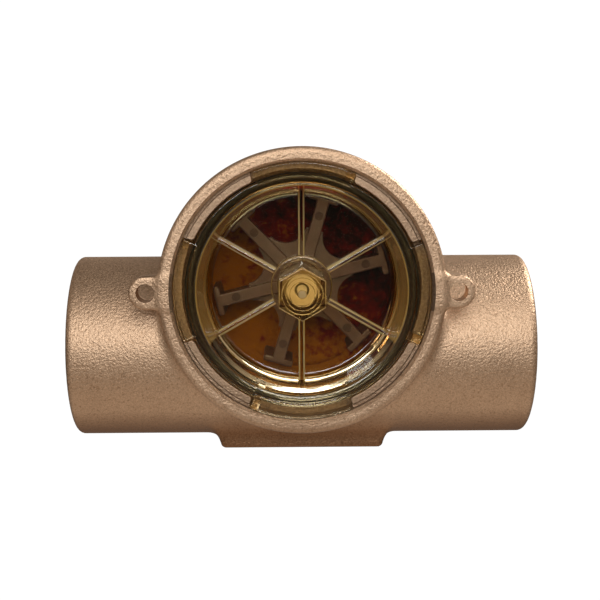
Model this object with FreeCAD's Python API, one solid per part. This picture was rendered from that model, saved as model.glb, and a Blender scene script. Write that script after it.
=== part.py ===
import FreeCAD, Part

import math
import os

# Sight flow indicator, 1 inch NPT, with a rotor behind a bayonet lens cap.
# Millimetres. +X is the outlet, -Y is the side the lens faces, +Z is up.
# The origin is the centre of the foot's underside, below the middle of the pipe.

# ---- bronze casting ----
PIPE_Z = 23.1               # pipe axis above the foot's underside
PIPE_R = 21.75
PIPE_HALF_LEN = 54.2
PIPE_END_ROUND = 1.3
THREAD_R = 16.6             # thread root, 1 inch NPT
THREAD_LEN = 21.0
THREAD_CHAMFER = 1.4
FLOW_R = 13.0
FLOW_CONE_LEN = 2.5         # cone from the thread to the flow bore
RING_Z = 39.5               # rotor and lens axis
RIM_FRONT = -28.0
RIM_R = 32.1
RIM_BACK = -19.5
RIM_ROUND = 1.0
NECK_R = 29.3
NECK_BACK = -11.0
SHELL_R = 27.5
SHELL_BACK = 17.0
SHELL_ROUND = 3.0
SOCKET_R = 28.9             # bayonet socket inside the rim
SOCKET_FLOOR = -20.7
SOCKET_CHAMFER = 0.5
SEAT_R = 26.4               # bore the O-ring seals against
SEAT_FLOOR = -12.0
CHAMBER_R = 24.0
CHAMBER_BACK = 13.0
CHAMBER_ROUND = 2.0
REAR_BOSS_R = 5.0
REAR_BOSS_FRONT = 9.4
REAR_PAD_R = 7.0
REAR_PAD_BACK = 19.0
EAR_X = 34.7
EAR_R = 3.8
EAR_ROOT_HALF = 6.8
EAR_BACK = -23.4
EAR_HOLE_R = 2.1
FOOT_HALF_LEN = 19.1
FOOT_HALF_DEPTH = 12.8
FOOT_DRAFT = 0.7
FOOT_SIDE = 2.5             # height of the drafted side below the flare
FOOT_FLARE = 1.6
FOOT_TOP = 9.0
FOOT_ROUND = 0.8

# ---- bayonet ----
BAYONET_COUNT = 4
TAB_START = 23.5            # degrees, counter-clockwise from +X seen from the front
TAB_END = 65.0
TAB_R = 26.5
TAB_FRONT = -26.1
TAB_BACK = -23.6
TAB_ROUND = 0.9
TAB_GROOVE_R = 28.3
TAB_GROOVE_DEPTH = 0.5
LUG_R = 28.6
LUG_FRONT = -27.75
LUG_BACK = -26.35
LUG_END = 112.2
STOP_START = 65.35
STOP_END = 69.2
STOP_RIBS = 5
STOP_RIB_DEPTH = 0.25
CATCH_START = 24.5
CATCH_END = 64.2
CATCH_FRONT = -23.4
CATCH_BACK = -21.0

# ---- lens ----
FLANGE_FRONT = -26.9
SKIRT_R = 26.1
DISH_FRONT_R = 23.4
DISH_FLOOR_R = 21.8
DISH_FLOOR = -14.4
LENS_REAR = -12.2
DISH_ROUND = 1.3
RIB_COUNT = 6
RIB_START = 30.0
RIB_WIDTH = 1.5
RIB_TOP = -16.3
COLLAR_R = 7.2
COLLAR_FRONT = -16.8
COLLAR_ROUND = 0.6
HEX_AF = 10.4
HEX_FACE_AF = 9.9
HEX_CHAMFER = 0.3
HEX_FRONT = -31.0
LENS_BOSS_R = 5.6
LENS_BOSS_REAR = -9.0
POCKET_R = 3.5
POCKET_END = -19.0

# ---- O-ring, squeezed section ----
GROOVE_R = 24.2
GROOVE_FRONT = -20.4
GROOVE_BACK = -17.2
ORING_IN_R = 24.25
ORING_OUT_R = 26.35
ORING_FRONT = -20.15
ORING_BACK = -17.45
ORING_ROUND = 0.95

# ---- shaft line ----
SHAFT_R = 1.5875
SHAFT_FRONT = -18.2
SHAFT_BACK = 17.0
SHAFT_CHAMFER = 0.45
SHAFT_HOLE_R = 1.6
SHAFT_HOLE_END = 17.2
CLIP_GROOVE_R = 1.2
CLIP_FRONT = -7.75
CLIP_BACK = -7.1
CLIP_R = 3.2
CLIP_IN_R = 1.25
CLIP_GAP = 1.9
CLIP_LOBE_GAP = 1.1
BEARING_R = 3.48
BEARING_IN_R = 1.65
BEARING_FRONT = -18.9
BEARING_REAR = -8.3
BEARING_FLANGE_R = 4.4
WASHER_R = 3.5
WASHER_IN_R = 1.62
WASHER_THICK = 0.5
FRONT_WASHER_FRONT = -7.05
REAR_WASHER_FRONT = 8.85

# ---- rotor ----
ROTOR_ARMS = 6
ROTOR_START = 14.0
ROTOR_FRONT = -5.0
ROTOR_BACK = 7.5
ROTOR_TIP_R = 21.2
HUB_R = 4.6
HUB_FRONT = -6.2
HUB_BACK = 8.5
RAIL_WIDTH = 3.0
RAIL_DEPTH = 2.2
VANE_WIDTH = 1.5
TIP_WIDTH = 7.2
TIP_THICK = 1.6
WEB_FRONT = -3.2
WEB_BACK = -1.4
WEB_R = 12.6
SCALLOP_R = 5.2
SCALLOP_CENTRE_R = 14.6
DIMPLE_CENTRE_R = 16.1
DIMPLE_R = 1.05
DIMPLE_DEPTH = 0.5
BUSH_R = 2.6
BUSH_IN_R = 1.64
BUSH_FRONT = -6.4
BUSH_BACK = 8.7

RING_AXIS = FreeCAD.Vector(0, 0, RING_Z)
BACKWARD = FreeCAD.Vector(0, 1, 0)


def ring_point(radius, degrees, y):
    """Point at a polar position about the lens axis, seen from the front."""
    angle = math.radians(degrees)
    return FreeCAD.Vector(radius * math.cos(angle), y, RING_Z + radius * math.sin(angle))


def disc(radius, y0, y1, x=0.0, z=RING_Z):
    """Cylinder along +Y from y0 to y1."""
    return Part.makeCylinder(radius, y1 - y0, FreeCAD.Vector(x, y0, z), BACKWARD)


def tube(outer, inner, y0, y1):
    """Hollow cylinder about the lens axis."""
    return disc(outer, y0, y1).cut(disc(inner, y0 - 1, y1 + 1))


def cone(r0, r1, y0, y1):
    """Truncated cone about the lens axis."""
    return Part.makeCone(r0, r1, y1 - y0, FreeCAD.Vector(0, y0, RING_Z), BACKWARD)


def pipe_disc(radius, x0, x1):
    """Cylinder along +X about the pipe axis."""
    return Part.makeCylinder(
        radius, x1 - x0, FreeCAD.Vector(x0, 0, PIPE_Z), FreeCAD.Vector(1, 0, 0)
    )


def pipe_cone(r0, r1, x0, x1):
    """Truncated cone about the pipe axis, r0 at x0 and r1 at x1."""
    towards = math.copysign(1, x1 - x0)
    return Part.makeCone(
        r0, r1, abs(x1 - x0), FreeCAD.Vector(x0, 0, PIPE_Z), FreeCAD.Vector(towards, 0, 0)
    )


def sector(r0, r1, y0, y1, start, end):
    """Piece of a ring between two angles."""
    middle = (start + end) / 2
    inner = Part.Arc(
        ring_point(r0, start, y0), ring_point(r0, middle, y0), ring_point(r0, end, y0)
    ).toShape()
    outer = Part.Arc(
        ring_point(r1, start, y0), ring_point(r1, middle, y0), ring_point(r1, end, y0)
    ).toShape()
    first = Part.makeLine(ring_point(r0, start, y0), ring_point(r1, start, y0))
    last = Part.makeLine(ring_point(r0, end, y0), ring_point(r1, end, y0))
    wire = Part.Wire(Part.__sortEdges__([inner, last, outer, first]))
    return Part.Face(wire).extrude(FreeCAD.Vector(0, y1 - y0, 0))


def turned(shape, degrees):
    """Copy turned counter-clockwise about the lens axis, seen from the front."""
    copy = shape.copy()
    copy.rotate(RING_AXIS, FreeCAD.Vector(0, -1, 0), degrees)
    return copy


def repeated(shape, count, start=0.0):
    """Equally spaced copies about the lens axis."""
    return [turned(shape, start + 360.0 * i / count) for i in range(count)]


def circle_edges(shape, radius, y):
    """Full circles of one radius about the lens axis, at one depth."""
    found = []
    for edge in shape.Edges:
        if not isinstance(edge.Curve, Part.Circle):
            continue
        same_radius = abs(edge.Curve.Radius - radius) < 1e-3
        centre = edge.Curve.Center
        on_axis = abs(centre.x) < 1e-3 and abs(centre.z - RING_Z) < 1e-3
        if same_radius and on_axis and abs(centre.y - y) < 1e-3:
            found.append(edge)
    return found


def depth_edges(shape, radius, tolerance=0.05):
    """Straight edges along Y at one distance from the lens axis."""
    found = []
    for edge in shape.Edges:
        a = edge.Vertexes[0].Point
        b = edge.Vertexes[-1].Point
        along_y = abs(a.x - b.x) < 1e-4 and abs(a.z - b.z) < 1e-4 and abs(a.y - b.y) > 0.1
        if along_y and abs(math.hypot(a.x, a.z - RING_Z) - radius) < tolerance:
            found.append(edge)
    return found


def hex_prism(across_flats, y):
    """Hexagonal wire with a corner at the top."""
    corner = across_flats / math.sqrt(3)
    points = [ring_point(corner, 30 + 60 * i, y) for i in range(7)]
    return Part.makePolygon(points)


def make_pipe():
    pipe = pipe_disc(PIPE_R, -PIPE_HALF_LEN, PIPE_HALF_LEN)
    ends = [e for e in pipe.Edges if isinstance(e.Curve, Part.Circle)]
    return pipe.makeFillet(PIPE_END_ROUND, ends)


def make_shell():
    """Round housing: rim at the front, neck, then the rotor chamber's wall."""
    rim = disc(RIM_R, RIM_FRONT, RIM_BACK)
    rim = rim.makeFillet(RIM_ROUND, circle_edges(rim, RIM_R, RIM_FRONT))
    shoulder = cone(RIM_R, NECK_R, RIM_BACK, RIM_BACK + RIM_R - NECK_R)
    neck = disc(NECK_R, RIM_BACK, NECK_BACK)
    taper = cone(NECK_R, SHELL_R, NECK_BACK, NECK_BACK + 2 * (NECK_R - SHELL_R))
    shell = disc(SHELL_R, NECK_BACK, SHELL_BACK)
    shell = shell.makeFillet(SHELL_ROUND, circle_edges(shell, SHELL_R, SHELL_BACK))
    pad = disc(REAR_PAD_R, CHAMBER_BACK, REAR_PAD_BACK)
    pad = pad.makeFillet(RIM_ROUND, circle_edges(pad, REAR_PAD_R, REAR_PAD_BACK))
    return rim.multiFuse([shoulder, neck, taper, shell, pad])


def make_ear(side):
    """Flat lug on the rim, before its hole."""
    eye = disc(EAR_R, RIM_FRONT + 0.3, EAR_BACK, x=side * EAR_X)
    root_x = side * (RIM_R - 3.5)
    y = RIM_FRONT + 0.3
    points = [
        FreeCAD.Vector(side * EAR_X, y, RING_Z + EAR_R),
        FreeCAD.Vector(root_x, y, RING_Z + EAR_ROOT_HALF),
        FreeCAD.Vector(root_x, y, RING_Z - EAR_ROOT_HALF),
        FreeCAD.Vector(side * EAR_X, y, RING_Z - EAR_R),
    ]
    web = Part.Face(Part.makePolygon(points + points[:1]))
    return eye.fuse(web.extrude(FreeCAD.Vector(0, EAR_BACK - y, 0)))


def foot_side(side):
    """One end of the foot's outline: drafted side, flare and the part inside the pipe."""
    y = -FOOT_HALF_DEPTH
    low = FreeCAD.Vector(side * FOOT_HALF_LEN, y, 0)
    hip = FreeCAD.Vector(side * (FOOT_HALF_LEN + FOOT_DRAFT), y, FOOT_SIDE)
    wide = FreeCAD.Vector(hip.x + side * FOOT_FLARE, y, FOOT_SIDE + FOOT_FLARE)
    middle = FreeCAD.Vector(hip.x + side * FOOT_FLARE * 0.293, y, FOOT_SIDE + FOOT_FLARE * 0.707)
    top = FreeCAD.Vector(wide.x, y, FOOT_TOP)
    edges = [Part.makeLine(low, hip), Part.Arc(hip, middle, wide).toShape()]
    edges.append(Part.makeLine(wide, top))
    return low, top, edges


def make_foot():
    """Flat foot under the pipe, flared at both ends where it joins the pipe."""
    left_low, left_top, left = foot_side(-1)
    right_low, right_top, right = foot_side(1)
    edges = left + right
    edges.append(Part.makeLine(left_low, right_low))
    edges.append(Part.makeLine(left_top, right_top))
    face = Part.Face(Part.Wire(Part.__sortEdges__(edges)))
    foot = face.extrude(FreeCAD.Vector(0, 2 * FOOT_HALF_DEPTH, 0))
    corners = []
    for edge in foot.Edges:
        a = edge.Vertexes[0].Point
        b = edge.Vertexes[-1].Point
        at_end = min(abs(a.x), abs(b.x)) > FOOT_HALF_LEN - 0.1
        if at_end and max(a.z, b.z) < 0.01:
            corners.append(edge)
    return foot.makeFillet(FOOT_ROUND, corners)


def make_tab():
    """One bronze bayonet tab, reaching inwards from the rim."""
    tab = sector(TAB_R, SOCKET_R + 0.8, TAB_FRONT, TAB_BACK, TAB_START, TAB_END)
    return tab.makeFillet(TAB_ROUND, depth_edges(tab, TAB_R))


def make_cavity():
    """Room for the lens and the rotor."""
    chamber = disc(CHAMBER_R, SEAT_FLOOR - 1, CHAMBER_BACK)
    chamber = chamber.makeFillet(
        CHAMBER_ROUND, circle_edges(chamber, CHAMBER_R, CHAMBER_BACK)
    )
    boss = disc(REAR_BOSS_R, REAR_BOSS_FRONT, CHAMBER_BACK + 1)
    socket = disc(SOCKET_R, RIM_FRONT - 1, SOCKET_FLOOR)
    mouth = cone(
        SOCKET_R + SOCKET_CHAMFER, SOCKET_R, RIM_FRONT, RIM_FRONT + SOCKET_CHAMFER
    )
    seat = disc(SEAT_R, SOCKET_FLOOR - 1, SEAT_FLOOR)
    lead_in = cone(SEAT_R + 0.8, SEAT_R, SOCKET_FLOOR, SOCKET_FLOOR + 1.2)
    return chamber.cut(boss).multiFuse([socket, mouth, seat, lead_in])


def make_port(side):
    """Threaded end and its cone down to the flow bore."""
    face = side * PIPE_HALF_LEN
    inner = side * (PIPE_HALF_LEN - THREAD_LEN)
    thread = pipe_disc(THREAD_R, min(face + side, inner), max(face + side, inner))
    mouth = pipe_cone(
        THREAD_R + THREAD_CHAMFER, THREAD_R, face, face - side * THREAD_CHAMFER
    )
    neck = pipe_cone(THREAD_R, FLOW_R, inner, inner - side * FLOW_CONE_LEN)
    return thread.multiFuse([mouth, neck])


def make_body():
    solid = make_pipe().multiFuse(
        [make_shell(), make_foot(), make_ear(-1), make_ear(1)]
    )
    bores = [pipe_disc(FLOW_R, -PIPE_HALF_LEN, PIPE_HALF_LEN)]
    bores.append(make_port(-1))
    bores.append(make_port(1))
    rear_boss = disc(REAR_BOSS_R, REAR_BOSS_FRONT, CHAMBER_BACK + 1)
    bores[0] = bores[0].cut(rear_boss)
    solid = solid.cut(make_cavity()).cut(bores[0]).cut(bores[1]).cut(bores[2])
    solid = solid.multiFuse(repeated(make_tab(), BAYONET_COUNT))
    groove = tube(SOCKET_R, TAB_GROOVE_R, TAB_FRONT - 0.5, TAB_FRONT + TAB_GROOVE_DEPTH)
    holes = [disc(SHAFT_HOLE_R, REAR_BOSS_FRONT - 1, SHAFT_HOLE_END)]
    holes.append(disc(EAR_HOLE_R, RIM_FRONT - 1, EAR_BACK + 1, x=-EAR_X))
    holes.append(disc(EAR_HOLE_R, RIM_FRONT - 1, EAR_BACK + 1, x=EAR_X))
    for cutter in [groove] + holes:
        solid = solid.cut(cutter)
    return solid.removeSplitter()


def make_rib():
    """Radial rib on the dish floor, round along its top, pointing along +X."""
    half = RIB_WIDTH / 2
    start = COLLAR_R - 1.5
    length = DISH_FLOOR_R + 0.5 - start
    web = Part.makeBox(
        length,
        DISH_FLOOR + 0.2 - (RIB_TOP + half),
        RIB_WIDTH,
        FreeCAD.Vector(start, RIB_TOP + half, RING_Z - half),
    )
    crest = Part.makeCylinder(
        half,
        length,
        FreeCAD.Vector(start, RIB_TOP + half, RING_Z),
        FreeCAD.Vector(1, 0, 0),
    )
    return web.fuse(crest)


def make_stop():
    """Ridged leg at one end of a lug. It meets the bronze tab when the lens is locked."""
    leg = sector(SKIRT_R - 0.5, LUG_R, LUG_FRONT, CATCH_BACK, STOP_START, STOP_END)
    pitch = (STOP_END - STOP_START) / STOP_RIBS
    for i in range(STOP_RIBS - 1):
        middle = STOP_START + (i + 1) * pitch
        cutter = sector(
            SKIRT_R + 0.4,
            LUG_R + 1,
            LUG_FRONT - 1,
            LUG_FRONT + STOP_RIB_DEPTH,
            middle - pitch * 0.25,
            middle + pitch * 0.25,
        )
        leg = leg.cut(cutter)
    return leg


def make_dish():
    """Skirt, flange and dished floor of the lens."""
    dish = disc(SKIRT_R, FLANGE_FRONT, LENS_REAR)
    dish = dish.makeFillet(0.5, circle_edges(dish, SKIRT_R, LENS_REAR))
    hollow = cone(DISH_FRONT_R, DISH_FLOOR_R, FLANGE_FRONT, DISH_FLOOR)
    hollow = hollow.makeFillet(DISH_ROUND, circle_edges(hollow, DISH_FLOOR_R, DISH_FLOOR))
    dish = dish.cut(hollow)
    dish = dish.makeFillet(0.8, circle_edges(dish, DISH_FRONT_R, FLANGE_FRONT))
    return dish.cut(tube(SKIRT_R + 1, GROOVE_R, GROOVE_FRONT, GROOVE_BACK))


def make_hub():
    """Collar, hexagon and the bearing boss behind the floor."""
    collar = disc(COLLAR_R, COLLAR_FRONT, LENS_REAR)
    collar = collar.makeFillet(COLLAR_ROUND, circle_edges(collar, COLLAR_R, COLLAR_FRONT))
    shank = Part.makeLoft(
        [hex_prism(HEX_AF, COLLAR_FRONT + 1), hex_prism(HEX_AF, HEX_FRONT + HEX_CHAMFER)],
        True,
        True,
    )
    nose = Part.makeLoft(
        [hex_prism(HEX_AF, HEX_FRONT + HEX_CHAMFER), hex_prism(HEX_FACE_AF, HEX_FRONT)],
        True,
        True,
    )
    boss = disc(LENS_BOSS_R, LENS_REAR - 1, LENS_BOSS_REAR)
    return collar.multiFuse([shank, nose, boss])


def make_lens():
    lug = sector(SKIRT_R - 0.5, LUG_R, LUG_FRONT, LUG_BACK, STOP_START, LUG_END)
    catch = sector(SKIRT_R - 0.5, LUG_R, CATCH_FRONT, CATCH_BACK, CATCH_START, CATCH_END)
    catch = catch.makeFillet(0.6, depth_edges(catch, LUG_R))
    parts = [make_hub()]
    parts += repeated(make_rib(), RIB_COUNT, RIB_START)
    parts += repeated(lug, BAYONET_COUNT)
    parts += repeated(make_stop(), BAYONET_COUNT)
    parts += repeated(catch, BAYONET_COUNT)
    lens = make_dish().multiFuse(parts)
    pocket = disc(POCKET_R, POCKET_END, LENS_BOSS_REAR + 1)
    return lens.cut(pocket).removeSplitter()


def make_o_ring():
    ring = tube(ORING_OUT_R, ORING_IN_R, ORING_FRONT, ORING_BACK)
    edges = []
    for radius in (ORING_IN_R, ORING_OUT_R):
        for y in (ORING_FRONT, ORING_BACK):
            edges += circle_edges(ring, radius, y)
    return ring.makeFillet(ORING_ROUND, edges)


def make_shaft():
    shaft = disc(SHAFT_R, SHAFT_FRONT, SHAFT_BACK)
    ends = circle_edges(shaft, SHAFT_R, SHAFT_FRONT)
    ends += circle_edges(shaft, SHAFT_R, SHAFT_BACK)
    shaft = shaft.makeChamfer(SHAFT_CHAMFER, ends)
    return shaft.cut(tube(SHAFT_R + 1, CLIP_GROOVE_R, CLIP_FRONT - 0.03, CLIP_BACK + 0.03))


def make_clip():
    """E-clip in the shaft's groove, open towards -Z."""
    clip = tube(CLIP_R, CLIP_IN_R, CLIP_FRONT, CLIP_BACK)
    slot = Part.makeBox(
        CLIP_GAP,
        CLIP_BACK - CLIP_FRONT + 2,
        CLIP_R + 1,
        FreeCAD.Vector(-CLIP_GAP / 2, CLIP_FRONT - 1, RING_Z - CLIP_R - 1),
    )
    clip = clip.cut(slot)
    relief = disc(CLIP_LOBE_GAP / 2, CLIP_FRONT - 1, CLIP_BACK + 1, z=RING_Z + CLIP_IN_R + 0.35)
    for angle in (60, -60):
        clip = clip.cut(turned(relief, angle))
    return clip


def make_bearing():
    """Flanged sleeve pressed into the lens hub. It steadies the shaft's front end."""
    sleeve = disc(BEARING_R, BEARING_FRONT, BEARING_REAR)
    flange = disc(BEARING_FLANGE_R, LENS_BOSS_REAR, BEARING_REAR)
    bore = disc(BEARING_IN_R, BEARING_FRONT - 1, BEARING_REAR + 1)
    return sleeve.fuse(flange).cut(bore).removeSplitter()


def make_washer(front):
    return tube(WASHER_R, WASHER_IN_R, front, front + WASHER_THICK)


def make_arm():
    """Rotor arm along +X: front rail, thin vane behind it and a crosswise tip plate."""
    reach = ROTOR_TIP_R - TIP_THICK / 2
    rail = Part.makeBox(
        reach,
        RAIL_DEPTH,
        RAIL_WIDTH,
        FreeCAD.Vector(0, ROTOR_FRONT, RING_Z - RAIL_WIDTH / 2),
    )
    vane = Part.makeBox(
        reach,
        ROTOR_BACK - ROTOR_FRONT,
        VANE_WIDTH,
        FreeCAD.Vector(0, ROTOR_FRONT, RING_Z - VANE_WIDTH / 2),
    )
    tip = Part.makeBox(
        TIP_THICK,
        ROTOR_BACK - ROTOR_FRONT,
        TIP_WIDTH,
        FreeCAD.Vector(ROTOR_TIP_R - TIP_THICK, ROTOR_FRONT, RING_Z - TIP_WIDTH / 2),
    )
    uprights = [e for e in tip.Edges if e.Length > ROTOR_BACK - ROTOR_FRONT - 0.1]
    tip = tip.makeFillet(TIP_THICK * 0.4, uprights)
    dimple = disc(DIMPLE_R, ROTOR_FRONT - 1, ROTOR_FRONT + DIMPLE_DEPTH, x=DIMPLE_CENTRE_R)
    return rail.multiFuse([vane, tip]).cut(dimple)


def make_rotor():
    web = disc(WEB_R, WEB_FRONT, WEB_BACK)
    scallop = disc(SCALLOP_R, WEB_FRONT - 1, WEB_BACK + 1, x=SCALLOP_CENTRE_R)
    for cutter in repeated(scallop, ROTOR_ARMS, 180.0 / ROTOR_ARMS):
        web = web.cut(cutter)
    hub = disc(HUB_R, HUB_FRONT, HUB_BACK)
    rotor = hub.multiFuse([web] + repeated(make_arm(), ROTOR_ARMS))
    rotor = turned(rotor, ROTOR_START)
    return rotor.cut(disc(BUSH_R, HUB_FRONT - 1, HUB_BACK + 1)).removeSplitter()


def make_bush():
    return tube(BUSH_R, BUSH_IN_R, BUSH_FRONT, BUSH_BACK)


def main():
    nodes = {
        "body": make_body(),
        "lens": make_lens(),
        "lens_o_ring": make_o_ring(),
        "lens_bearing": make_bearing(),
        "shaft": make_shaft(),
        "shaft_clip": make_clip(),
        "front_thrust_washer": make_washer(FRONT_WASHER_FRONT),
        "rear_thrust_washer": make_washer(REAR_WASHER_FRONT),
        "rotor": make_rotor(),
        "rotor_bush": make_bush(),
    }
    os.makedirs("parts", exist_ok=True)
    for name, shape in nodes.items():
        shape.exportStep("parts/" + name + ".step")
        print(name, round(shape.Volume), len(shape.Solids), shape.isValid())


main()
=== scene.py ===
import math

import bmesh
import bpy
import numpy as np
from mathutils import Matrix, Vector


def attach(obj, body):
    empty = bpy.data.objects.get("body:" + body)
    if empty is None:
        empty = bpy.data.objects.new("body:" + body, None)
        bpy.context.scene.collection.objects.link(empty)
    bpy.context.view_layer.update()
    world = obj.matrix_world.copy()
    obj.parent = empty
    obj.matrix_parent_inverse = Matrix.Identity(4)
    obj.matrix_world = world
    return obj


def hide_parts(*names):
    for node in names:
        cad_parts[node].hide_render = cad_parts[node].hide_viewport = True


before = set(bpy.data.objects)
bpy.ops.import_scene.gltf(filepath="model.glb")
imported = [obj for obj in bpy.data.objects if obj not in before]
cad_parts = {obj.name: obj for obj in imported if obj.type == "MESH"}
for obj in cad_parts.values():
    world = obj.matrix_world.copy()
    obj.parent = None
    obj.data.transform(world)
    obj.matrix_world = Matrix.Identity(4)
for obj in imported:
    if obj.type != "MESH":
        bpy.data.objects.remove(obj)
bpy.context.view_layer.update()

MM = 0.001

# Row frame, mm and degrees: pipe axis along X at PIPE_Z, lens axis along Y at RING_Z, and the
# lens faces -Y. Angles about the lens axis count from +X toward +Z.
PIPE_Z, PIPE_R, PIPE_HALF = 23.1, 21.75, 54.2
RING_Z = 39.5

# The casting's outside
RIM_R, RIM_FRONT, RIM_BACK = 32.1, -28.0, -19.5
NECK_R, NECK_MIDDLE, NECK_HALF = 29.3, -16.0, 6.5
SHELL_R, SHELL_HALF = 27.5, 17.0
PAD_R, PAD_MIDDLE, PAD_HALF = 7.0, 15.5, 3.5
EAR_X, EAR_R, EAR_MIDDLE, EAR_HALF, EAR_HOLE_R = 34.7, 3.8, -25.55, 2.15, 2.1
FOOT_HALF_X, FOOT_HALF_Y, FOOT_HALF_Z, FOOT_ROUND = 19.1, 12.8, 6.0, 0.9
FOOT_FLARE = 0.28

# The casting's inside
SOCKET_MOUTH_R, SOCKET_R, SOCKET_FLOOR = 29.5, 28.9, -20.7
SEAT_R, SEAT_FLOOR = 26.4, -12.0
CHAMBER_R, CHAMBER_BACK = 24.0, 13.0
REAR_BOSS_R, REAR_BOSS_FRONT = 5.0, 9.4
SHAFT_HOLE_R, SHAFT_HOLE_END = 1.59, 17.2
FLOW_R, FLOW_HALF = 13.0, 36.0
PORT_MOUTH_R, PORT_CHAMFER, PORT_CONE_END = 18.2, 1.4, 30.7
THREAD_R, THREAD_END = 16.6, 33.2
THREAD_PITCH, THREAD_TURNS = 2.209, 8
TAB_START, TAB_END, TAB_INNER_R, TAB_ROUND = 23.5, 65.0, 26.5, 0.9

# The lens cap
LENS_BACK, FLANGE_R, GROOVE_R = -12.2, 26.1, 24.2
DISH_FLOOR = -14.4
COLLAR_R, COLLAR_FRONT = 7.2, -16.8
HEX_FLATS, HEX_BACK, HEX_FRONT = 10.4, -15.5, -31.0
BEARING_BOSS_R, BEARING_BOSS_BACK = 5.6, -9.0
POCKET_R, POCKET_END = 3.5, -19.0
RIB_HALF, RIB_START, RIB_END, RIB_BACK, RIB_FRONT = 0.75, 6.0, 22.4, -13.6, -15.5
LUG_START, LUG_END, LUG_FRONT, LUG_BACK = 65.35, 112.2, -27.75, -26.35
LUG_RIDGES, LUG_RIDGED_ANGLE = 4, 3.85
CATCH_START, CATCH_END, CATCH_FRONT, CATCH_BACK = 24.5, 64.2, -23.4, -21.0
GATE_R, GATE_FLOOR = 1.0, -30.8
HEX_RINGS = (2.7, 3.6, 4.5)
O_RING_R, O_RING_Y, O_RING_HALF, O_RING_SQUEEZE = 25.3, -18.8, 1.05, 1.28

# The rotor
HUB_BORE_R, HUB_R, HUB_FRONT, HUB_BACK = 2.6, 4.6, -6.2, 8.5
WEB_R, WEB_FRONT, WEB_BACK = 12.6, -3.2, -1.4
SCALLOP_R, SCALLOP_AT = 5.2, 14.6
ARM_START, ARM_END, ARM_FRONT, ARM_BACK = 4.0, 20.6, -5.0, 7.5
RAIL_HALF, RAIL_BACK, VANE_HALF = 1.5, -2.8, 0.75
TIP_START, TIP_END, TIP_HALF = 19.6, 21.2, 3.6
DIMPLE_R, DIMPLE_AT, DIMPLE_FLOOR = 1.05, 16.1, -4.5
ROTOR_TURN = 14.0

SMOOTH_BELOW = math.radians(32)
BEVEL_ABOVE = math.radians(30)


# ---------------------------------------------------------------- mesh helpers
def new_object(name, verts, faces):
    mesh = bpy.data.meshes.new(name)
    mesh.from_pydata([tuple(c * MM for c in v) for v in verts], [], faces)
    mesh.update()
    ob = bpy.data.objects.new(name, mesh)
    bpy.context.scene.collection.objects.link(ob)
    return ob


def outward(ob):
    """Consistent outward normals."""
    bm = bmesh.new()
    bm.from_mesh(ob.data)
    bmesh.ops.remove_doubles(bm, verts=bm.verts, dist=1e-7)
    bmesh.ops.recalc_face_normals(bm, faces=bm.faces)
    bm.to_mesh(ob.data)
    bm.free()
    return ob


def lathe(name, profile, segments=192, closed=False):
    """Solid of revolution about the lens axis from (radius, y) points. Radius 0 closes it."""
    verts, faces, rows = [], [], []
    for r, y in profile:
        if r < 1e-6:
            rows.append([len(verts)])
            verts.append((0, y, RING_Z))
            continue
        row = []
        for i in range(segments):
            a = 2 * math.pi * i / segments
            row.append(len(verts))
            verts.append((r * math.cos(a), y, RING_Z + r * math.sin(a)))
        rows.append(row)
    pairs = list(zip(rows, rows[1:]))
    if closed:
        pairs.append((rows[-1], rows[0]))
    for a, b in pairs:
        for i in range(segments):
            j = (i + 1) % segments
            if len(a) == 1 and len(b) == 1:
                break
            if len(a) == 1:
                faces.append((a[0], b[j], b[i]))
            elif len(b) == 1:
                faces.append((a[i], a[j], b[0]))
            else:
                faces.append((a[i], a[j], b[j], b[i]))
    return outward(new_object(name, verts, faces))


def lathe_x(name, profile, segments):
    """Solid of revolution about the pipe axis from (radius, x) points."""
    ob = lathe(name, profile, segments)
    turn = Matrix.Rotation(math.radians(-90), 4, "Z")
    lift = Matrix.Translation((0, 0, (PIPE_Z - RING_Z) * MM))
    ob.data.transform(lift @ turn)
    return ob


def disc(name, r, y0, y1, segments, x=0.0):
    """Plain cylinder about the lens axis, or about a parallel axis x to the side."""
    ob = lathe(name, [(0, y0), (r, y0), (r, y1), (0, y1)], segments)
    ob.data.transform(Matrix.Translation((x * MM, 0, 0)))
    return ob


def arc(cx, cy, radius, start, end, steps=8):
    """Points (r, y) on an arc, angles in degrees in the (r, y) plane."""
    out = []
    for i in range(steps + 1):
        a = math.radians(start + (end - start) * i / steps)
        out.append((cx + radius * math.cos(a), cy + radius * math.sin(a)))
    return out


def polar(r, degrees, y):
    a = math.radians(degrees)
    return (r * math.cos(a), y, RING_Z + r * math.sin(a))


def prism_faces(m):
    """Faces of a prism whose first m vertices are one end and whose next m are the other."""
    faces = [tuple(range(m)), tuple(range(2 * m - 1, m - 1, -1))]
    return faces + [(i, i + m, (i + 1) % m + m, (i + 1) % m) for i in range(m)]


def sector(name, r0, r1, y0, y1, start, end, round_in=0.0, step=1.5):
    """Piece of a ring. round_in rounds its corners at the inner radius."""
    n = max(3, int((end - start) / step))
    ring = []
    turn = math.degrees(round_in / r0)
    inner = [start + turn + (end - start - 2 * turn) * i / n for i in range(n + 1)]
    outer = [end - (end - start) * i / n for i in range(n + 1)]
    if round_in:
        for k in range(5):
            t = math.radians(90 * k / 5)
            ring.append((r0 + round_in * (1 - math.sin(t)), start + turn * (1 - math.cos(t))))
    ring += [(r0, a) for a in inner]
    if round_in:
        for k in range(1, 6):
            t = math.radians(90 * k / 5)
            ring.append((r0 + round_in * (1 - math.cos(t)), end - turn * (1 - math.sin(t))))
    ring += [(r1, a) for a in outer]
    verts = [polar(r, a, y0) for r, a in ring] + [polar(r, a, y1) for r, a in ring]
    return outward(new_object(name, verts, prism_faces(len(ring))))


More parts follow.
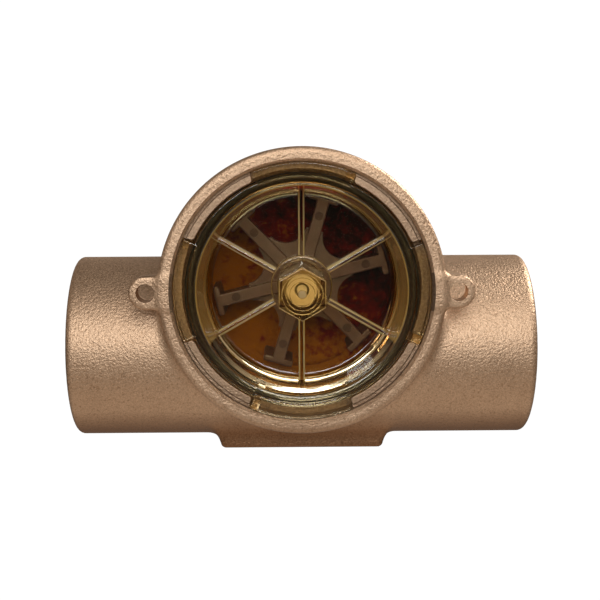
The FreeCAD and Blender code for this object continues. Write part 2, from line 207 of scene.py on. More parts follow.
def box(name, x0, x1, y0, y1, z0, z1):
    verts = [(x, y, z) for x in (x0, x1) for y in (y0, y1) for z in (z0, z1)]
    faces = [(0, 1, 3, 2), (4, 6, 7, 5), (0, 4, 5, 1), (2, 3, 7, 6), (0, 2, 6, 4), (1, 5, 7, 3)]
    return outward(new_object(name, verts, faces))


def spin(ob, degrees):
    """Turns a mesh counter-clockwise about the lens axis, seen from the front."""
    axis = Vector((0, 0, RING_Z * MM))
    turn = Matrix.Rotation(math.radians(-degrees), 4, "Y")
    ob.data.transform(Matrix.Translation(axis) @ turn @ Matrix.Translation(-axis))
    return ob


def copies(ob, count, start=0.0):
    """Copies evenly spaced about the lens axis; the original is removed."""
    out = []
    for i in range(count):
        c = ob.copy()
        c.data = ob.data.copy()
        bpy.context.scene.collection.objects.link(c)
        out.append(spin(c, start + 360.0 * i / count))
    bpy.data.objects.remove(ob)
    return out


def join(name, parts):
    ob = parts[0]
    with bpy.context.temp_override(
        active_object=ob, selected_editable_objects=parts, selected_objects=parts
    ):
        bpy.ops.object.join()
    ob.name = name
    return ob


def apply_modifiers(ob):
    dg = bpy.context.evaluated_depsgraph_get()
    dg.update()
    mesh = bpy.data.meshes.new_from_object(ob.evaluated_get(dg))
    ob.modifiers.clear()
    ob.data = mesh
    return ob


def bevel(ob, width):
    m = ob.modifiers.new("bevel", "BEVEL")
    m.width = width * MM
    m.segments = 3
    m.limit_method = "ANGLE"
    m.angle_limit = BEVEL_ABOVE
    m.use_clamp_overlap = True
    return apply_modifiers(ob)


def combine(ob, others, operation):
    for other in others:
        m = ob.modifiers.new("bool", "BOOLEAN")
        m.operation = operation
        m.solver = "MANIFOLD"
        m.object = other
        apply_modifiers(ob)
        bpy.data.objects.remove(other)
    return ob


def shade(ob):
    """Smooth faces, with sharp edges where they meet at more than SMOOTH_BELOW."""
    bm = bmesh.new()
    bm.from_mesh(ob.data)
    for f in bm.faces:
        f.smooth = True
    for e in bm.edges:
        e.smooth = len(e.link_faces) == 2 and e.calc_face_angle(0) < SMOOTH_BELOW
    bm.to_mesh(ob.data)
    bm.free()


def flat_faces_stay_flat(ob):
    m = ob.modifiers.new("weighted", "WEIGHTED_NORMAL")
    m.keep_sharp = True
    m.weight = 90
    apply_modifiers(ob)


def finish_piece(ob, body, node, material):
    shade(ob)
    flat_faces_stay_flat(ob)
    ob.data.materials.clear()
    ob.data.materials.append(material)
    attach(ob, body)
    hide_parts(node)
    return ob


# ---------------------------------------------------------------- the casting's outside
def smin(a, b, k):
    """Smaller of two distances, blended by a fillet of about k mm."""
    h = np.clip(0.5 + 0.5 * (b - a) / k, 0, 1)
    return b + (a - b) * h - k * h * (1 - h)


def rounded(qx, qy, r):
    """Distance to a rounded rectangle corner from the two slab distances."""
    ax, ay = qx + r, qy + r
    outside = np.hypot(np.maximum(ax, 0), np.maximum(ay, 0))
    return np.minimum(np.maximum(ax, ay), 0) + outside - r


def casting_distance(p):
    """Signed distance, mm, to the outside of the casting.

    The last number in each rounded() and smin() call is the radius of that edge or fillet.
    """
    x, y, z = p[:, 0], p[:, 1], p[:, 2]
    rp = np.hypot(y, z - PIPE_Z)
    rr = np.hypot(x, z - RING_Z)
    pipe = rounded(rp - PIPE_R, np.abs(x) - PIPE_HALF, 1.4)
    rim_middle, rim_half = (RIM_FRONT + RIM_BACK) / 2, (RIM_BACK - RIM_FRONT) / 2
    rim = rounded(rr - RIM_R, np.abs(y - rim_middle) - rim_half, 1.1)
    neck = rounded(rr - NECK_R, np.abs(y - NECK_MIDDLE) - NECK_HALF, 1.0)
    shell = rounded(rr - SHELL_R, np.abs(y) - SHELL_HALF, 3.2)
    pad = rounded(rr - PAD_R, np.abs(y - PAD_MIDDLE) - PAD_HALF, 0.9)
    round_part = smin(smin(rim, neck, 1.8), shell, 1.5)
    round_part = smin(round_part, pad, 1.2)
    half = FOOT_HALF_X + FOOT_FLARE * np.clip(z, 0, FOOT_HALF_Z)
    qx = np.abs(x) - half + FOOT_ROUND
    qy = np.abs(y) - FOOT_HALF_Y + FOOT_ROUND
    qz = np.abs(z - FOOT_HALF_Z) - FOOT_HALF_Z + FOOT_ROUND
    foot = (
        np.sqrt(np.maximum(qx, 0) ** 2 + np.maximum(qy, 0) ** 2 + np.maximum(qz, 0) ** 2)
        + np.minimum(np.maximum(qx, np.maximum(qy, qz)), 0)
        - FOOT_ROUND
    )
    along = np.clip(np.abs(x), 29.0, EAR_X)
    eye = np.hypot(np.abs(x) - along, z - RING_Z) - EAR_R
    ear = rounded(eye, np.abs(y - EAR_MIDDLE) - EAR_HALF, 0.7)
    solid = smin(pipe, round_part, 3.2)
    solid = smin(solid, foot, 3.4)
    return smin(solid, ear, 1.5)


def rough_casting():
    """Voxel mesh of the outside's overlapping solids, close to the real surface."""
    profile = [(0, RIM_FRONT), (RIM_R, RIM_FRONT), (RIM_R, RIM_BACK), (NECK_R, -17), (NECK_R, -11)]
    profile += [(SHELL_R, -8), (SHELL_R, SHELL_HALF), (PAD_R, SHELL_HALF), (PAD_R, 19), (0, 19)]
    pipe = [(0, -PIPE_HALF), (PIPE_R, -PIPE_HALF), (PIPE_R, PIPE_HALF), (0, PIPE_HALF)]
    solids = [lathe("rough", profile, 160), lathe_x("pipe", pipe, 160)]
    solids.append(box("foot", -20, 20, -FOOT_HALF_Y, FOOT_HALF_Y, 0, 2 * FOOT_HALF_Z))
    for side in (-1, 1):
        across = sorted((side * 26, side * 38.4))
        solids.append(box("ear", *across, -27.7, -23.4, RING_Z - 3.7, RING_Z + 3.7))
    ob = join("body_casting", solids)
    m = ob.modifiers.new("remesh", "REMESH")
    m.mode = "VOXEL"
    m.voxel_size = 0.55 * MM
    return apply_modifiers(ob)


def onto_surface(v, step=0.01, reach=0.6):
    """Moves points toward the casting's exact surface along the distance's gradient."""
    d = casting_distance(v)
    g = np.stack([(casting_distance(v + off) - d) / step for off in np.eye(3) * step], 1)
    steep = np.maximum((g**2).sum(1, keepdims=True), 0.2)
    return v - np.clip(d, -reach, reach)[:, None] * g / steep


def relaxed(v, edges, count):
    """Moves points half-way to the mean of their neighbours."""
    a, b = edges[:, 0], edges[:, 1]
    n = len(v)
    total = [np.bincount(a, v[b, k], n) + np.bincount(b, v[a, k], n) for k in range(3)]
    return v + 0.5 * (np.stack(total, 1) / count - v)


def make_casting_outside(rounds=9):
    """The rough mesh, alternately relaxed and drawn onto the exact surface."""
    ob = rough_casting()
    n = len(ob.data.vertices)
    v = np.zeros(n * 3)
    ob.data.vertices.foreach_get("co", v)
    v = v.reshape(-1, 3) / MM
    edges = np.zeros(len(ob.data.edges) * 2, int)
    ob.data.edges.foreach_get("vertices", edges)
    edges = edges.reshape(-1, 2)
    count = np.bincount(edges.ravel(), minlength=n)[:, None]
    for i in range(rounds):
        for _ in range(3):
            v = onto_surface(v)
        if i < rounds - 1:
            v = relaxed(v, edges, count)
    ob.data.vertices.foreach_set("co", (v * MM).ravel())
    ob.data.update()
    return ob


# ---------------------------------------------------------------- the casting's inside
def make_body():
    cavity = [(0, -30), (SOCKET_MOUTH_R, -30), (SOCKET_MOUTH_R, RIM_FRONT), (SOCKET_R, -27.4)]
    cavity += [(SOCKET_R, SOCKET_FLOOR), (27.2, SOCKET_FLOOR), (SEAT_R, -19.5)]
    cavity += [(SEAT_R, SEAT_FLOOR), (CHAMBER_R, SEAT_FLOOR)]
    cavity += arc(CHAMBER_R - 2.0, CHAMBER_BACK - 2.0, 2.0, 0, 90) + [(5.6, CHAMBER_BACK)]
    cavity += arc(5.6, 12.4, 0.6, 90, 180, 4) + [(REAR_BOSS_R, REAR_BOSS_FRONT)]
    cavity += [(SHAFT_HOLE_R, REAR_BOSS_FRONT), (SHAFT_HOLE_R, SHAFT_HOLE_END), (0, SHAFT_HOLE_END)]
    ob = make_casting_outside()
    cutters = [lathe("cavity", cavity, 256)]
    flow = [(0, -FLOW_HALF), (FLOW_R, -FLOW_HALF), (FLOW_R, FLOW_HALF), (0, FLOW_HALF)]
    bore = lathe_x("flow", flow, 128)
    boss = disc("boss", REAR_BOSS_R, REAR_BOSS_FRONT, 14, 64)
    cutters.append(combine(bore, [boss], "DIFFERENCE"))
    for side in (-1, 1):
        port = [(0, side * 57), (PORT_MOUTH_R, side * 57), (PORT_MOUTH_R, side * PIPE_HALF)]
        port += [(THREAD_R, side * (PIPE_HALF - PORT_CHAMFER)), (THREAD_R, side * THREAD_END)]
        port += [(FLOW_R, side * PORT_CONE_END), (0, side * PORT_CONE_END)]
        cutters.append(lathe_x("port", port, 160))
        cutters.append(disc("hole", EAR_HOLE_R, -30, -21, 48, x=side * EAR_X))
    return combine(ob, cutters, "DIFFERENCE")


def make_tabs():
    """Bronze bayonet tabs, each with a shallow groove where it meets the rim."""
    span = (TAB_START, TAB_END, TAB_ROUND)
    top = bevel(sector("tab", TAB_INNER_R, 28.3, -26.1, -24.8, *span), 0.3)
    base = sector("tab_base", TAB_INNER_R, 29.3, -25.6, -23.6, *span)
    return join("bayonet_tabs", copies(top, 4) + copies(base, 4))


def make_thread(name, side):
    """Internal 1 inch NPT thread: one tapered helical ridge on the bore wall."""
    steps, fade_steps, taper = 96, 30, 0.6 / 32.0
    section = [(0.35, -0.95), (-1.35, -0.14), (-1.35, 0.14), (0.35, 0.95)]
    verts, faces = [], []
    total = THREAD_TURNS * steps
    for i in range(total + 1):
        a = 2 * math.pi * i / steps
        along = PIPE_HALF - 1.6 - THREAD_PITCH * i / steps
        fade = min(1.0, i / fade_steps, (total - i) / fade_steps)
        for dr, dx in section:
            crest = fade * (dr - (PIPE_HALF - along) * taper)
            r = THREAD_R + (dr if dr > 0 else crest)
            verts.append((side * (along + dx), r * math.cos(a), PIPE_Z + side * r * math.sin(a)))
    k = len(section)
    for i in range(total):
        for j in range(k):
            a, b = i * k + j, i * k + (j + 1) % k
            faces.append((a, b, b + k, a + k))
    faces.append(tuple(range(k)))
    faces.append(tuple(range(total * k + k - 1, total * k - 1, -1)))
    return outward(new_object(name, verts, faces))


# ---------------------------------------------------------------- lens cap
def make_dish():
    """Flange with the O-ring's groove, and the dish with rounded edges."""
    back_edge = FLANGE_R - 0.4
    outer = [(0, LENS_BACK), (back_edge, LENS_BACK), (FLANGE_R, LENS_BACK - 0.4), (FLANGE_R, -17.2)]
    outer += [(GROOVE_R, -17.2), (GROOVE_R, -20.4), (FLANGE_R, -20.4)]
    front = arc(back_edge, -26.5, 0.4, 0, -90, 4) + arc(24.2, -26.1, 0.8, -90, -180, 8)
    floor = [(22.05, -16.2)] + arc(20.55, DISH_FLOOR - 1.3, 1.3, 0, 90, 8) + [(0, DISH_FLOOR)]
    return lathe("lens_cap", outer + front + floor, 256)


def make_hexagon():
    corner = HEX_FLATS / math.sqrt(3)
    angles = [30 + 60 * i for i in range(6)]
    verts = [polar(corner, a, y) for y in (HEX_BACK, HEX_FRONT) for a in angles]
    faces = [(0, 1, 2, 3, 4, 5), (11, 10, 9, 8, 7, 6)]
    faces += [(i, (i + 1) % 6, (i + 1) % 6 + 6, i + 6) for i in range(6)]
    return bevel(outward(new_object("hex", verts, faces)), 0.3)


def make_rib():
    """Round-topped bar from the collar to the dish's wall."""
    crest = [(-RIB_HALF, RIB_BACK), (-RIB_HALF, RIB_FRONT)]
    for degrees in range(15, 180, 15):
        a = math.radians(degrees)
        crest.append((-RIB_HALF * math.cos(a), RIB_FRONT - 0.05 - RIB_HALF * math.sin(a)))
    crest += [(RIB_HALF, RIB_FRONT), (RIB_HALF, RIB_BACK)]
    verts = [(x, y, RING_Z + z) for x in (RIB_START, RIB_END) for z, y in crest]
    return outward(new_object("rib", verts, prism_faces(len(crest))))


def make_lens():
    ob = make_dish()
    collar = [(0, -12.3), (COLLAR_R, -12.3)]
    collar += arc(COLLAR_R - 0.6, COLLAR_FRONT + 0.6, 0.6, 0, -90, 6) + [(0, COLLAR_FRONT)]
    boss = [(0, BEARING_BOSS_BACK), (BEARING_BOSS_R - 0.3, BEARING_BOSS_BACK)]
    boss += [(BEARING_BOSS_R, BEARING_BOSS_BACK - 0.3), (BEARING_BOSS_R, -12.6), (0, -12.6)]
    parts = [lathe("collar", collar, 96), make_hexagon(), lathe("boss", boss, 96)]
    parts += copies(make_rib(), 6, 30)
    lug = bevel(sector("lug", 25.3, 28.6, LUG_FRONT, LUG_BACK, LUG_START, LUG_END), 0.22)
    parts += copies(lug, 4)
    parts += copies(sector("stop", 25.6, 28.55, -26.6, CATCH_BACK, LUG_START + 0.05, 69.2), 4)
    catch = sector("catch", 25.6, 28.6, CATCH_FRONT, CATCH_BACK, CATCH_START, CATCH_END)
    combine(ob, parts + copies(catch, 4), "UNION")
    cuts = []
    for i in range(LUG_RIDGES):
        a = LUG_START + (i + 1) * LUG_RIDGED_ANGLE / (LUG_RIDGES + 1)
        cuts += copies(sector("ridge", 26.5, 29.5, -29.0, -27.5, a - 0.2, a + 0.2, step=0.2), 4)
    cuts.append(disc("pocket", POCKET_R, -8, POCKET_END, 96))
    cuts.append(disc("gate", GATE_R, HEX_FRONT - 0.2, GATE_FLOOR, 64))
    for r in HEX_RINGS:
        groove = [(r - 0.2, HEX_FRONT - 0.1), (r + 0.2, HEX_FRONT - 0.1), (r, HEX_FRONT + 0.16)]
        cuts.append(lathe("ring", groove, 96, closed=True))
    return combine(ob, cuts, "DIFFERENCE")


def make_gate_mark():
    """Frosted round mark where the lens was moulded from, in the hexagon's face."""
    r, back = GATE_R - 0.04, GATE_FLOOR - 0.01
    profile = [(0, back), (r, back)] + arc(r - 0.2, -30.86, 0.2, 0, -90, 3) + [(0, -31.06)]
    return lathe("gate_mark", profile, 64)


def make_o_ring():
    """Ring squeezed across its groove, so its section is longer along the lens axis."""
    section = arc(O_RING_R, O_RING_Y, O_RING_HALF, 0, 360, 20)[:-1]
    section = [(r, O_RING_Y + (y - O_RING_Y) * O_RING_SQUEEZE) for r, y in section]
    return lathe("o_ring", section, 256, closed=True)


# ---------------------------------------------------------------- rotor
def make_rotor():
    hub = [(HUB_BORE_R, HUB_FRONT), (4.2, HUB_FRONT), (HUB_R, HUB_FRONT + 0.4)]
    hub += [(HUB_R, HUB_BACK - 0.4), (4.2, HUB_BACK), (HUB_BORE_R, HUB_BACK)]
    wheel = lathe("rotor_wheel", hub, 96, closed=True)
    web = disc("web", WEB_R, WEB_FRONT, WEB_BACK, 96)
    scallop = disc("scallop", SCALLOP_R, -6, 2, 64, x=SCALLOP_AT)
    core = disc("core", HUB_BORE_R, -7, 10, 96)
    combine(web, copies(scallop, 6, 30) + [core], "DIFFERENCE")
    across = (RING_Z - RAIL_HALF, RING_Z + RAIL_HALF)
    rail = bevel(box("rail", ARM_START, ARM_END, ARM_FRONT, RAIL_BACK, *across), 0.3)
    across = (RING_Z - VANE_HALF, RING_Z + VANE_HALF)
    vane = box("vane", ARM_START, ARM_END, WEB_FRONT, ARM_BACK, *across)
    across = (RING_Z - TIP_HALF, RING_Z + TIP_HALF)
    tip = bevel(box("tip", TIP_START, TIP_END, ARM_FRONT, ARM_BACK, *across), 0.45)
    arm = combine(rail, [vane, tip], "UNION")
    dimple = disc("dimple", DIMPLE_R, -6, DIMPLE_FLOOR, 32, x=DIMPLE_AT)
    combine(arm, [dimple], "DIFFERENCE")
    combine(wheel, [web] + copies(arm, 6), "UNION")
    return spin(wheel, ROTOR_TURN)


# ---------------------------------------------------------------- materials
class Mat:
    """A node material with its Principled shader and small helpers."""

    def __init__(self, name):
        self.mat = bpy.data.materials.new(name)
        self.mat.use_nodes = True
        self.tree = self.mat.node_tree
        self.bsdf = self.tree.nodes["Principled BSDF"]
        self.out = self.tree.nodes["Material Output"]
        self.coord = self.tree.nodes.new("ShaderNodeTexCoord").outputs["Object"]

    def node(self, kind, **values):
        n = self.tree.nodes.new(kind)
        for key, value in values.items():
            setattr(n, key, value)
        return n

    def link(self, a, b):
        self.tree.links.new(a, b)

    def set(self, **values):
        for key, value in values.items():
            self.bsdf.inputs[key.replace("_", " ")].default_value = value

    def noise(self, per_mm, detail=3.0, rough=0.55):
        n = self.node("ShaderNodeTexNoise")
        n.inputs["Scale"].default_value = per_mm / MM
        n.inputs["Detail"].default_value = detail
        n.inputs["Roughness"].default_value = rough
        self.link(self.coord, n.inputs["Vector"])
        return n.outputs["Fac"]

    def place(self):
        """X and Z of the shaded point."""
        split = self.node("ShaderNodeSeparateXYZ")
        self.link(self.coord, split.inputs[0])
        return split.outputs["X"], split.outputs["Z"]

    def ramp(self, fac, *stops):
        n = self.node("ShaderNodeValToRGB")
        el = n.color_ramp.elements
        while len(el) < len(stops):
            el.new(0.5)
        for e, (pos, colour) in zip(el, stops):
            e.position = pos
            e.color = (*colour, 1)
        self.link(fac, n.inputs["Fac"])
        return n.outputs["Color"]

    def multiply(self, fac, a, b):
        n = self.node("ShaderNodeMix", data_type="RGBA", blend_type="MULTIPLY")
        n.inputs[0].default_value = fac
        self.link(a, n.inputs[6])
        self.link(b, n.inputs[7])
        return n.outputs[2]

    def map(self, value, a, b, c, d):
        n = self.node("ShaderNodeMapRange")
        for i, v in enumerate((a, b, c, d)):
            n.inputs[i + 1].default_value = v
        self.link(value, n.inputs[0])
        return n.outputs[0]

    def math(self, operation, a, b):
        n = self.node("ShaderNodeMath", operation=operation)
        for i, v in enumerate((a, b)):
            if hasattr(v, "node"):
                self.link(v, n.inputs[i])
            else:
                n.inputs[i].default_value = v
        return n.outputs[0]

    def colour(self, value):
        self.link(value, self.bsdf.inputs["Base Color"])

    def two_tone(self, fac, dark, light, low=0.3, high=0.7):
        """Base colour between two tones as the noise goes from low to high."""
        self.colour(self.ramp(fac, (low, dark), (high, light)))

    def roughness(self, fac, low, high):
        self.link(self.map(fac, 0.3, 0.7, low, high), self.bsdf.inputs["Roughness"])

    def bump(self, height, distance_mm):
        n = self.node("ShaderNodeBump")
        n.inputs["Distance"].default_value = distance_mm * MM
        n.inputs["Strength"].default_value = 1.0
        self.link(height, n.inputs["Height"])
        self.link(n.outputs["Normal"], self.bsdf.inputs["Normal"])


WHITE = (1, 1, 1)
CAST_DARK, CAST_LIGHT = (0.62, 0.42, 0.272), (0.7, 0.485, 0.32)


def cast_bronze(name="cast_bronze", shade=1.0):
    """Sand-cast skin with pits and sand grain; painted shade makes it darker and browner low down,
    on the foot under the rim's overhang.
    """
    m = Mat(name)
    grain = m.noise(1.8, 2.0, 0.6)
    fine = m.noise(3.0, 2.0, 0.7)
    # A shade below 1 darkens both tones as painted shade.
    dark, light = (tuple(shade * c for c in tone) for tone in (CAST_DARK, CAST_LIGHT))
    base = m.ramp(m.noise(0.07, 3.0, 0.6), (0.3, dark), (0.7, light))
    pits = m.ramp(grain, (0.3, (0.7, 0.64, 0.58)), (0.46, WHITE))
    sand = m.ramp(fine, (0.35, (0.78, 0.77, 0.76)), (0.65, (1.12, 1.12, 1.12)))
    # Painted shade: colour darkened and browned below 4 to 10.5 mm height, standing for the rim's
    # shadow on the foot.
    above_foot = m.map(m.place()[1], 4.0 * MM, 10.5 * MM, 0.0, 1.0)
    painted_foot_shade = m.ramp(above_foot, (0.0, (0.48, 0.37, 0.29)), (1.0, WHITE))
    base = m.multiply(1.0, m.multiply(0.8, base, pits), sand)
    m.colour(m.multiply(1.0, base, painted_foot_shade))
    m.roughness(fine, 0.4, 0.54)
    m.bump(m.math("ADD", m.math("MULTIPLY", grain, 0.8), m.math("MULTIPLY", fine, 0.15)), 0.2)
    m.set(Metallic=0.95)
    return m.mat


def machined_bronze():
    m = Mat("machined_bronze")
    m.two_tone(m.noise(0.8, 2.0), (0.6, 0.42, 0.24), (0.72, 0.53, 0.33))
    m.roughness(m.noise(3.0), 0.22, 0.36)
    m.bump(m.noise(6.0, 2.0), 0.02)
    m.set(Metallic=1.0)
    return m.mat


def socket_painted_shade_and_light():
    """Dull machined floor of the bayonet socket behind the lugs; its dark colour is painted shade,
    and painted light makes it paler toward the top.
    """
    m = Mat("socket_painted_shade_and_light")
    # Painted light: lighter toward the top and a little to the left, where light from above falls
    # in past the lugs.
    x, z = m.place()
    height = m.math("ADD", z, m.math("MULTIPLY", x, -0.3))
    up = m.map(height, 30.0 * MM, 66.0 * MM, 0.0, 1.0)
    paler = m.ramp(up, (0.0, (0.54, 0.54, 0.56)), (1.0, WHITE))
    # Painted shade: dark tones standing for the shadow behind the lugs.
    base = m.ramp(m.noise(1.6, 3.0), (0.35, (0.32, 0.22, 0.145)), (0.65, (0.51, 0.36, 0.24)))
    m.colour(m.multiply(1.0, base, paler))
    m.roughness(m.noise(3.0), 0.42, 0.6)
    m.bump(m.noise(2.0, 3.0), 0.08)
    m.set(Metallic=0.9)
    return m.mat


def chamber_painted_shade_and_light():
    """Inside wall of the chamber: painted shade makes it red-brown near the top and to the right,
    painted light makes it amber low down and to the left.
    """
    m = Mat("chamber_painted_shade_and_light")
    x, z = m.place()
    height = m.math("ADD", z, m.math("MULTIPLY", x, 1.1))
    # Painted light and shade: this height-and-side ramp stands for light through the lens reaching
    # the lower left, with the rim shading the top.
    low = m.map(height, 60.0 * MM, 18.0 * MM, -0.24, 0.25)
    tone = m.math("ADD", m.noise(0.42, 4.0, 0.6), low)
    brown, red, amber = (0.02, 0.0012, 0.0004), (0.115, 0.0015, 0.0002), (0.27, 0.1, 0.0006)
    m.colour(m.ramp(tone, (0.2, brown), (0.48, red), (0.68, amber)))
    m.roughness(m.noise(2.0), 0.62, 0.82)
    m.bump(m.noise(1.6, 3.0), 0.1)
    m.set(Metallic=0.25, Specular_IOR_Level=0.08)
    return m.mat


def amber_lens(name, clear, dark, light, rough):
    """Amber plastic; clear is the share of light that goes through. Shadow rays pass tinted."""
    m = Mat(name)
    m.two_tone(m.noise(0.25, 2.0), dark, light)
    m.roughness(m.noise(0.6, 2.0), rough, rough + 0.025)
    m.bump(m.noise(0.12, 1.0), 0.03)
    m.set(Transmission_Weight=clear, IOR=1.63)
    lets = m.node("ShaderNodeBsdfTransparent")
    lets.inputs["Color"].default_value = (0.97, 0.88, 0.68, 1)
    path = m.node("ShaderNodeLightPath")
    mix = m.node("ShaderNodeMixShader")
    m.link(path.outputs["Is Shadow Ray"], mix.inputs[0])
    m.link(m.bsdf.outputs[0], mix.inputs[1])
    m.link(lets.outputs[0], mix.inputs[2])
    m.link(mix.outputs[0], m.out.inputs["Surface"])
    volume = m.node("ShaderNodeVolumeAbsorption")
    volume.inputs["Color"].default_value = (0.97, 0.7, 0.05, 1)
    volume.inputs["Density"].default_value = 45.0
    m.link(volume.outputs[0], m.out.inputs["Volume"])
    return m.mat


def rubber():
    m = Mat("black_nitrile")
    m.two_tone(m.noise(1.2), (0.008, 0.009, 0.009), (0.022, 0.023, 0.023))
    m.roughness(m.noise(2.5), 0.32, 0.5)
    m.bump(m.noise(5.0, 2.0), 0.01)
    return m.mat


def plastic(name, dark, light, rough=0.35):
    m = Mat(name)
    m.two_tone(m.noise(0.4, 3.0), dark, light)
    m.roughness(m.noise(3.0), rough - 0.06, rough + 0.08)
    m.bump(m.noise(4.0, 2.0), 0.012)
    return m.mat


def stainless():
    m = Mat("stainless")
    m.two_tone(m.noise(0.8), (0.5, 0.49, 0.47), (0.66, 0.65, 0.63))
    m.roughness(m.noise(5.0), 0.36, 0.5)
    m.bump(m.noise(9.0, 1.0), 0.006)
    m.set(Metallic=1.0)
    return m.mat


# ---------------------------------------------------------------- finishes within a piece
def from_lens_axis(face):
    """A face centre's x, y, height above the lens axis and distance from it, mm."""
    x, y, z = face.center / MM
    return x, y, z - RING_Z, math.hypot(x, z - RING_Z)


def mark_casting(ob, machined, chamber_wall, socket_floor):
    """Threads and lens seat are machined; chamber, flow bore and socket get their own materials,
    with painted light and shade in their colours.
    """
    for mat in (machined, chamber_wall, socket_floor):
        ob.data.materials.append(mat)
    n = len(ob.data.polygons)
    c = np.zeros(n * 3)
    ob.data.polygons.foreach_get("center", c)
    c = c.reshape(-1, 3) / MM
    inside = casting_distance(c) < -0.35
    rr = np.hypot(c[:, 0], c[:, 2] - RING_Z)
    rp = np.hypot(c[:, 1], c[:, 2] - PIPE_Z)
    seat_edge = SEAT_R + 0.2
    chamber = inside & (rr < CHAMBER_R + 0.3) & (c[:, 1] > SEAT_FLOOR - 0.1)
    thread = inside & (np.abs(c[:, 0]) > THREAD_END - 0.2) & (rp < PORT_MOUTH_R + 0.2)
    bore = inside & (np.abs(c[:, 0]) < THREAD_END + 0.1) & (rp < FLOW_R + 0.4) & ~chamber
    chamber |= bore & (rr < THREAD_END - 0.2)
    in_mouth = inside & (c[:, 1] < SEAT_FLOOR + 0.1)
    index = np.zeros(n, int)
    index[thread | (in_mouth & (rr < seat_edge))] = 1
    index[(in_mouth & (rr > seat_edge) & (rr < SOCKET_R + 0.7)) | bore] = 3
    index[chamber] = 2
    ob.data.polygons.foreach_set("material_index", index)
    ob.data.update()


def mark_lens(ob, satin_wall, rib_edges):
    """Satin on the dish's side wall, above the ribs at 210 and 330 degrees, and on rib edges."""
    ob.data.materials.append(satin_wall)
    ob.data.materials.append(rib_edges)
    for face in ob.data.polygons:
        x, y, up, r = from_lens_axis(face)
        off_rib = r * math.sin(math.radians(math.degrees(math.atan2(up, x)) % 60 - 30))
        if 21.6 < r < 23.8 and -26.8 < y < -16.2 and up > -0.5 * r:
            face.material_index = 1
        elif 7.4 < r < 20.4 and -16.6 < y < -14.6 and abs(off_rib) > 0.32:
            face.material_index = 2


def mark_dimples(ob, dark):
    """The six moulded dimples are coloured darker than the arms."""
    ob.data.materials.append(dark)
    for face in ob.data.polygons:
        _, y, _, r = from_lens_axis(face)
        if abs(r - DIMPLE_AT) < 1.2 and ARM_FRONT + 0.02 < y < DIMPLE_FLOOR + 0.1:
            face.material_index = 1


# ---------------------------------------------------------------- pieces
casting = finish_piece(make_body(), "housing", "body", cast_bronze())
machined = machined_bronze()
mark_casting(casting, machined, chamber_painted_shade_and_light(), socket_painted_shade_and_light())
# Painted shade: the recessed tabs get the cast skin at 0.72 of its brightness, standing for the
# rim's shadow on them.
tab_bronze_painted_shade = cast_bronze("cast_bronze_tabs_painted_shade", 0.72)
finish_piece(make_tabs(), "housing", "body", tab_bronze_painted_shade)
for thread_name, thread_side in (("inlet_thread", -1), ("outlet_thread", 1)):
    thread = make_thread(thread_name, thread_side)
    finish_piece(thread, "housing", "body", machined)

clear = amber_lens("amber_polysulfone", 1.0, (0.97, 0.9, 0.72), (1.0, 0.94, 0.78), 0.015)
satin_wall = amber_lens("amber_satin", 0.62, (0.86, 0.53, 0.14), (0.96, 0.63, 0.2), 0.02)
rib_edges = amber_lens("amber_ribs", 0.5, (0.98, 0.72, 0.26), (1.0, 0.8, 0.36), 0.03)
lens = finish_piece(make_lens(), "lens_cap", "lens", clear)
mark_lens(lens, satin_wall, rib_edges)
frosted = plastic("gate_mark", (0.4, 0.26, 0.09), (0.48, 0.33, 0.13), 0.5)
finish_piece(make_gate_mark(), "lens_cap", "lens", frosted)
finish_piece(make_o_ring(), "lens_cap", "lens_o_ring", rubber())

arms = plastic("rotor_plastic", (0.07, 0.04, 0.036), (0.09, 0.052, 0.047))
rotor = finish_piece(make_rotor(), "rotor_unit", "rotor", arms)
mark_dimples(rotor, plastic("rotor_dimples", (0.02, 0.004, 0.003), (0.035, 0.008, 0.005), 0.55))

bearing = plastic("bearing_plastic", (0.42, 0.38, 0.32), (0.52, 0.47, 0.4), 0.4)
steel = stainless()
CAD_FINISH = {
    "lens_bearing": bearing,
    "rotor_bush": bearing,
    "front_thrust_washer": bearing,
    "rear_thrust_washer": bearing,
    "shaft": steel,
    "shaft_clip": steel,
}
for node, material in CAD_FINISH.items():
    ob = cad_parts[node]
    ob.data.materials.clear()
    ob.data.materials.append(material)


# ---------------------------------------------------------------- stage, light, camera
SEEN_LEVEL = 1.05


def seen_white(tree, shader, emission):
    """Adds white for direct view of the stage; lit and reflected light keep the shader."""
    path = tree.nodes.new("ShaderNodeLightPath")
    mix = tree.nodes.new("ShaderNodeMixShader")
    tree.links.new(path.outputs["Is Camera Ray"], mix.inputs[0])
    tree.links.new(shader, mix.inputs[1])
    tree.links.new(emission, mix.inputs[2])
    return mix.outputs[0]


def make_floor(half=6000, top=-0.05):
    m = Mat("pale_floor")
    m.two_tone(m.noise(0.01, 2.0), (0.8, 0.79, 0.78), (0.84, 0.83, 0.82))
    m.set(Roughness=0.9)
    glow = m.node("ShaderNodeEmission")
    glow.inputs["Strength"].default_value = SEEN_LEVEL
    m.link(seen_white(m.tree, m.bsdf.outputs[0], glow.outputs[0]), m.out.inputs["Surface"])
    corners = [(-half, -half, top), (half, -half, top), (half, half, top), (-half, half, top)]
    ob = new_object("floor", corners, [(0, 1, 2, 3)])
    ob.data.materials.append(m.mat)
    ob.visible_diffuse = False
    ob.visible_glossy = False
    ob.visible_transmission = False


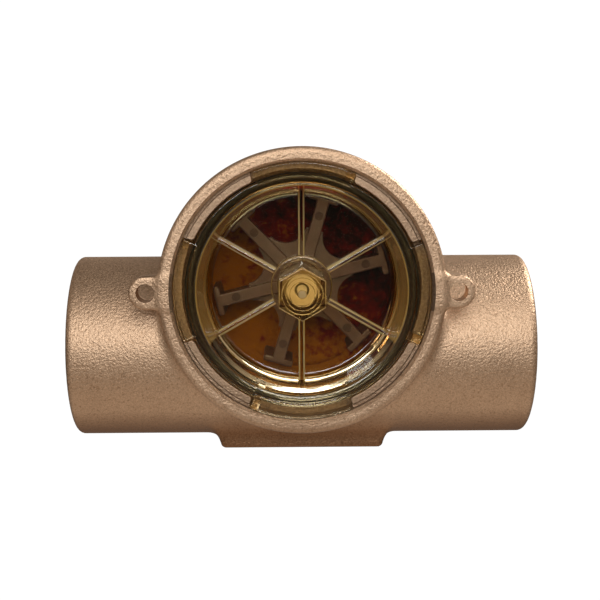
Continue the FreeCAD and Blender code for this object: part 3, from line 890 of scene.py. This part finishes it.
def area_light(name, place_mm, aim_mm, size_mm, watts, colour=WHITE):
    """Rectangular light; size_mm is its width and height."""
    data = bpy.data.lights.new(name, "AREA")
    data.shape = "RECTANGLE"
    data.size, data.size_y = (s * MM for s in size_mm)
    data.energy = watts
    data.color = colour
    ob = bpy.data.objects.new(name, data)
    bpy.context.scene.collection.objects.link(ob)
    ob.location = Vector(place_mm) * MM
    aim = Vector(aim_mm) - Vector(place_mm)
    ob.rotation_euler = aim.to_track_quat("-Z", "Y").to_euler()


# (sine of the elevation, level): bright below, dark at the horizon, grey overhead
WORLD_BANDS = (
    (-1.0, 0.6),
    (-0.8, 0.52),
    (-0.55, 0.4),
    (-0.3, 0.15),
    (-0.16, 0.04),
    (0.0, 0.03),
    (0.1, 0.3),
    (0.2, 0.42),
    (0.5, 0.4),
    (0.85, 0.16),
)
WORLD_GREEN, WORLD_BLUE = 0.86, 0.74


def make_world():
    """Warm bands of light by elevation, brighter in front of the object than behind it."""
    world = bpy.data.worlds.new("studio")
    bpy.context.scene.world = world
    world.use_nodes = True
    tree = world.node_tree
    back = tree.nodes["Background"]
    coord = tree.nodes.new("ShaderNodeTexCoord")
    split = tree.nodes.new("ShaderNodeSeparateXYZ")
    tree.links.new(coord.outputs["Generated"], split.inputs[0])
    height = tree.nodes.new("ShaderNodeMapRange")
    height.inputs["From Min"].default_value = -1.0
    ramp = tree.nodes.new("ShaderNodeValToRGB")
    el = ramp.color_ramp.elements
    while len(el) < len(WORLD_BANDS):
        el.new(0.5)
    for e, (sine, level) in zip(el, WORLD_BANDS):
        e.position = 0.5 + 0.5 * sine
        e.color = (level, level * WORLD_GREEN, level * WORLD_BLUE, 1)
    tree.links.new(split.outputs["Z"], height.inputs["Value"])
    tree.links.new(height.outputs["Result"], ramp.inputs["Fac"])
    tree.links.new(ramp.outputs["Color"], back.inputs["Color"])
    front_to_back = tree.nodes.new("ShaderNodeMapRange")
    for socket, value in zip(front_to_back.inputs[1:5], (-0.7, 0.7, 1.15, 0.6)):
        socket.default_value = value
    tree.links.new(split.outputs["Y"], front_to_back.inputs["Value"])
    tree.links.new(front_to_back.outputs["Result"], back.inputs["Strength"])
    white = tree.nodes.new("ShaderNodeBackground")
    white.inputs["Color"].default_value = (*WHITE, 1)
    white.inputs["Strength"].default_value = SEEN_LEVEL
    mixed = seen_white(tree, back.outputs[0], white.outputs[0])
    tree.links.new(mixed, tree.nodes["World Output"].inputs["Surface"])


CAMERA_AZIMUTH, CAMERA_ELEVATION, CAMERA_ROLL = -0.703, 8.0, -0.24
CAMERA_TARGET, CAMERA_DISTANCE, CAMERA_LENS = (-0.351, -15.0, 36.085), 254.716, 65.64


def make_camera():
    """Eight degrees above the lens axis, a little to the left."""
    azimuth, elevation = math.radians(CAMERA_AZIMUTH), math.radians(CAMERA_ELEVATION)
    level = math.cos(elevation)
    back = Vector((math.sin(azimuth) * level, -math.cos(azimuth) * level, math.sin(elevation)))
    data = bpy.data.cameras.new("camera")
    data.sensor_width = 36.0
    data.lens = CAMERA_LENS
    data.clip_start = 0.01
    ob = bpy.data.objects.new("camera", data)
    bpy.context.scene.collection.objects.link(ob)
    ob.location = Vector(CAMERA_TARGET) * MM + back * CAMERA_DISTANCE * MM
    turn = Matrix.Rotation(math.radians(CAMERA_ROLL), 4, "Z")
    look = (-back).to_track_quat("-Z", "Y").to_matrix().to_4x4()
    ob.rotation_euler = (look @ turn).to_euler()
    bpy.context.scene.camera = ob


make_floor()
make_world()
area_light("key", (-40, -640, 226), (0, 0, 38), (420, 150), 1.45, (0.96, 1.01, 1.06))
area_light("top_front", (60, -400, 400), (0, -10, 30), (260, 260), 0.5)
area_light("right_top", (420, 100, 420), (20, 0, 30), (260, 260), 2.7)
make_camera()
bpy.context.scene.view_settings.view_transform = "Standard"
